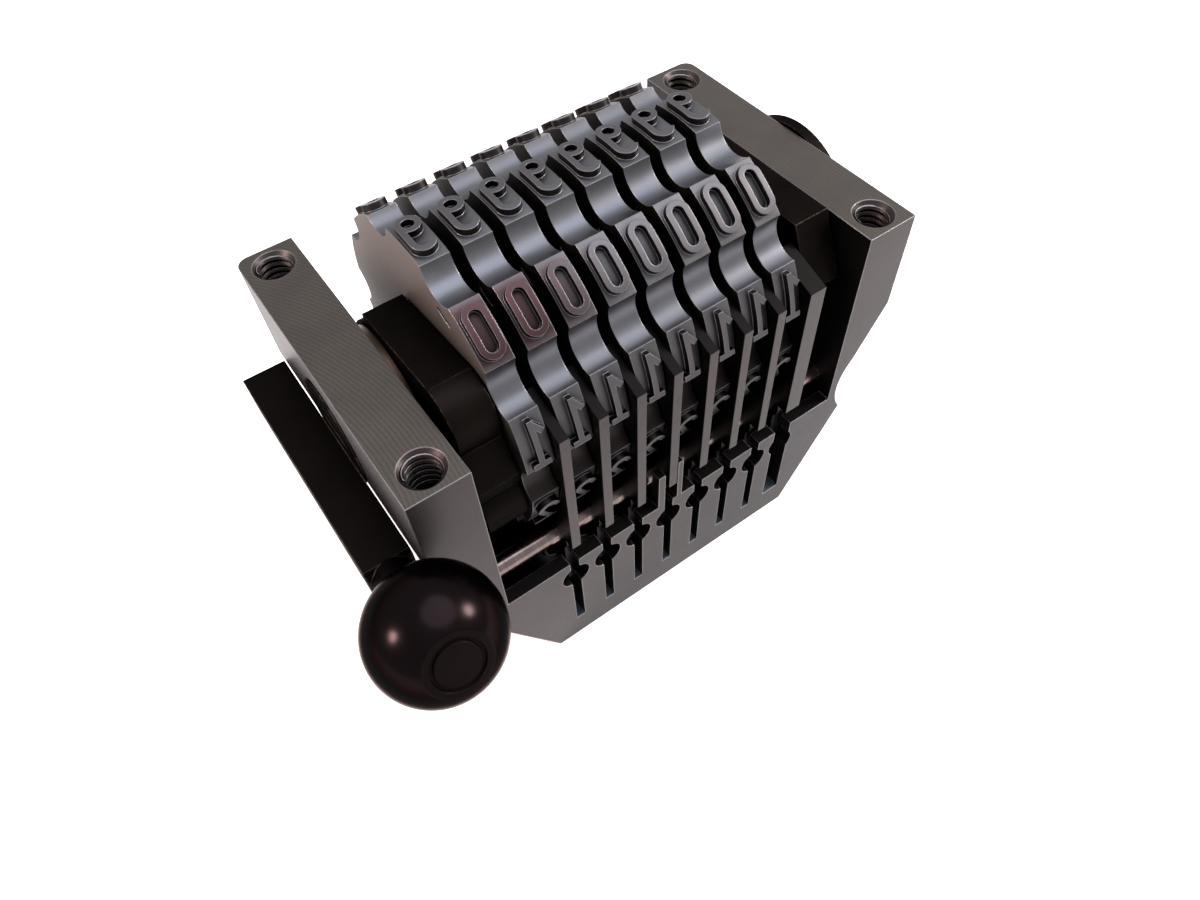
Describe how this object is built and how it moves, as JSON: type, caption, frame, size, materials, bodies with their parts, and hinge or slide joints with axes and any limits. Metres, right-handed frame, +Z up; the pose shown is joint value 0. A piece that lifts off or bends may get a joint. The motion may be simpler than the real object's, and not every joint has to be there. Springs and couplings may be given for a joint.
{
  "type": "numbering box",
  "caption": "Frame with a row of figure wheels on one shaft, a comb of retaining pawls in front, and an outside lever that ends in a ball.",
  "frame": {"origin": "middle of the frame's flat bottom face", "axes": "+X along the wheel shaft from the lever to the end disc, +Y from the pawls to the back, +Z up to the printing figures"},
  "size_m": [0.0637, 0.0457, 0.0477],
  "materials": {
    "ground_steel": "ground steel, brushed fine",
    "wheel_steel": "bright steel, worn",
    "bright_steel": "drawn steel, bright",
    "pawl_steel": "ground edges, blackened flanks",
    "black_oxide": "blackened steel, oiled, worn at the edges",
    "gunmetal": "dark polished steel",
    "spring_steel": "drawn spring wire",
    "washer_brass": "plain brass"
  },
  "bodies": {
    "frame": {"main_frame": "ground_steel", "pawl_rod": "bright_steel", "spring_post": "bright_steel", "stop_pin": "bright_steel", "left_washer": "washer_brass", "right_washer": "washer_brass", "pawl_spring_1": "spring_steel", "pawl_spring_2": "spring_steel", "pawl_spring_3": "spring_steel", "pawl_spring_4": "spring_steel", "pawl_spring_5": "spring_steel", "pawl_spring_6": "spring_steel", "pawl_spring_7": "spring_steel", "pawl_spring_8": "spring_steel", "return_spring": "spring_steel"},
    "swing": {"wheel_shaft": "bright_steel", "left_cheek": "black_oxide", "right_cheek": "black_oxide", "lever": "black_oxide", "lever_screw": "black_oxide", "ball_stud": "black_oxide", "ball_knob": "gunmetal", "end_disc": "black_oxide", "disc_screw": "black_oxide", "drive_pin": "bright_steel", "drive_spring": "spring_steel"},
    "drive_pawl": {"drive_pawl": "black_oxide"},
    "wheel_1": {"figure_wheel_1": "wheel_steel", "ratchet_1": "black_oxide"},
    "wheel_2": {"figure_wheel_2": "wheel_steel", "ratchet_2": "black_oxide"},
    "wheel_3": {"figure_wheel_3": "wheel_steel", "ratchet_3": "black_oxide"},
    "wheel_4": {"figure_wheel_4": "wheel_steel", "ratchet_4": "black_oxide"},
    "wheel_5": {"figure_wheel_5": "wheel_steel", "ratchet_5": "black_oxide"},
    "wheel_6": {"figure_wheel_6": "wheel_steel", "ratchet_6": "black_oxide"},
    "wheel_7": {"figure_wheel_7": "wheel_steel", "ratchet_7": "black_oxide"},
    "wheel_8": {"figure_wheel_8": "wheel_steel", "ratchet_8": "black_oxide"},
    "pawl_1": {"retaining_pawl_1": "pawl_steel"},
    "pawl_2": {"retaining_pawl_2": "pawl_steel"},
    "pawl_3": {"retaining_pawl_3": "pawl_steel"},
    "pawl_4": {"retaining_pawl_4": "pawl_steel"},
    "pawl_5": {"retaining_pawl_5": "pawl_steel"},
    "pawl_6": {"retaining_pawl_6": "pawl_steel"},
    "pawl_7": {"retaining_pawl_7": "pawl_steel"},
    "pawl_8": {"retaining_pawl_8": "pawl_steel"}
  },
  "joints": [
    {"name": "swing_turn", "type": "hinge", "parent": "frame", "child": "swing", "pos_m": [0, 0, 0.0309], "axis": [1, 0, 0], "range_deg": [0, 40], "stiffness_Nm_per_rad": 0.12, "springref_deg": -20.05, "deforming": ["return_spring"]},
    {"name": "drive_pawl_rock", "type": "hinge", "parent": "swing", "child": "drive_pawl", "pos_m": [0, 0.01152, 0.01504], "axis": [1, 0, 0], "range_deg": [-12, 0], "stiffness_Nm_per_rad": 0.01, "springref_deg": 17.19, "deforming": ["drive_spring"]},
    {"name": "wheel_1_turn", "type": "hinge", "parent": "frame", "child": "wheel_1", "pos_m": [0, 0, 0.0309], "axis": [1, 0, 0], "continuous": true},
    {"name": "wheel_2_turn", "type": "hinge", "parent": "frame", "child": "wheel_2", "pos_m": [0, 0, 0.0309], "axis": [1, 0, 0], "continuous": true},
    {"name": "wheel_3_turn", "type": "hinge", "parent": "frame", "child": "wheel_3", "pos_m": [0, 0, 0.0309], "axis": [1, 0, 0], "continuous": true},
    {"name": "wheel_4_turn", "type": "hinge", "parent": "frame", "child": "wheel_4", "pos_m": [0, 0, 0.0309], "axis": [1, 0, 0], "continuous": true},
    {"name": "wheel_5_turn", "type": "hinge", "parent": "frame", "child": "wheel_5", "pos_m": [0, 0, 0.0309], "axis": [1, 0, 0], "continuous": true},
    {"name": "wheel_6_turn", "type": "hinge", "parent": "frame", "child": "wheel_6", "pos_m": [0, 0, 0.0309], "axis": [1, 0, 0], "continuous": true},
    {"name": "wheel_7_turn", "type": "hinge", "parent": "frame", "child": "wheel_7", "pos_m": [0, 0, 0.0309], "axis": [1, 0, 0], "continuous": true},
    {"name": "wheel_8_turn", "type": "hinge", "parent": "frame", "child": "wheel_8", "pos_m": [0, 0, 0.0309], "axis": [1, 0, 0], "continuous": true},
    {"name": "pawl_1_rock", "type": "hinge", "parent": "frame", "child": "pawl_1", "pos_m": [0, -0.0138, 0.0179], "axis": [1, 0, 0], "range_deg": [0, 4.5], "stiffness_Nm_per_rad": 0.02, "springref_deg": -11.46, "deforming": ["pawl_spring_1"]},
    {"name": "pawl_2_rock", "type": "hinge", "parent": "frame", "child": "pawl_2", "pos_m": [0, -0.0138, 0.0179], "axis": [1, 0, 0], "range_deg": [0, 4.5], "stiffness_Nm_per_rad": 0.02, "springref_deg": -11.46, "deforming": ["pawl_spring_2"]},
    {"name": "pawl_3_rock", "type": "hinge", "parent": "frame", "child": "pawl_3", "pos_m": [0, -0.0138, 0.0179], "axis": [1, 0, 0], "range_deg": [0, 4.5], "stiffness_Nm_per_rad": 0.02, "springref_deg": -11.46, "deforming": ["pawl_spring_3"]},
    {"name": "pawl_4_rock", "type": "hinge", "parent": "frame", "child": "pawl_4", "pos_m": [0, -0.0138, 0.0179], "axis": [1, 0, 0], "range_deg": [0, 4.5], "stiffness_Nm_per_rad": 0.02, "springref_deg": -11.46, "deforming": ["pawl_spring_4"]},
    {"name": "pawl_5_rock", "type": "hinge", "parent": "frame", "child": "pawl_5", "pos_m": [0, -0.0138, 0.0179], "axis": [1, 0, 0], "range_deg": [0, 4.5], "stiffness_Nm_per_rad": 0.02, "springref_deg": -11.46, "deforming": ["pawl_spring_5"]},
    {"name": "pawl_6_rock", "type": "hinge", "parent": "frame", "child": "pawl_6", "pos_m": [0, -0.0138, 0.0179], "axis": [1, 0, 0], "range_deg": [0, 4.5], "stiffness_Nm_per_rad": 0.02, "springref_deg": -11.46, "deforming": ["pawl_spring_6"]},
    {"name": "pawl_7_rock", "type": "hinge", "parent": "frame", "child": "pawl_7", "pos_m": [0, -0.0138, 0.0179], "axis": [1, 0, 0], "range_deg": [0, 4.5], "stiffness_Nm_per_rad": 0.02, "springref_deg": -11.46, "deforming": ["pawl_spring_7"]},
    {"name": "pawl_8_rock", "type": "hinge", "parent": "frame", "child": "pawl_8", "pos_m": [0, -0.0138, 0.0179], "axis": [1, 0, 0], "range_deg": [0, 4.5], "stiffness_Nm_per_rad": 0.02, "springref_deg": -11.46, "deforming": ["pawl_spring_8"]}
  ]
}
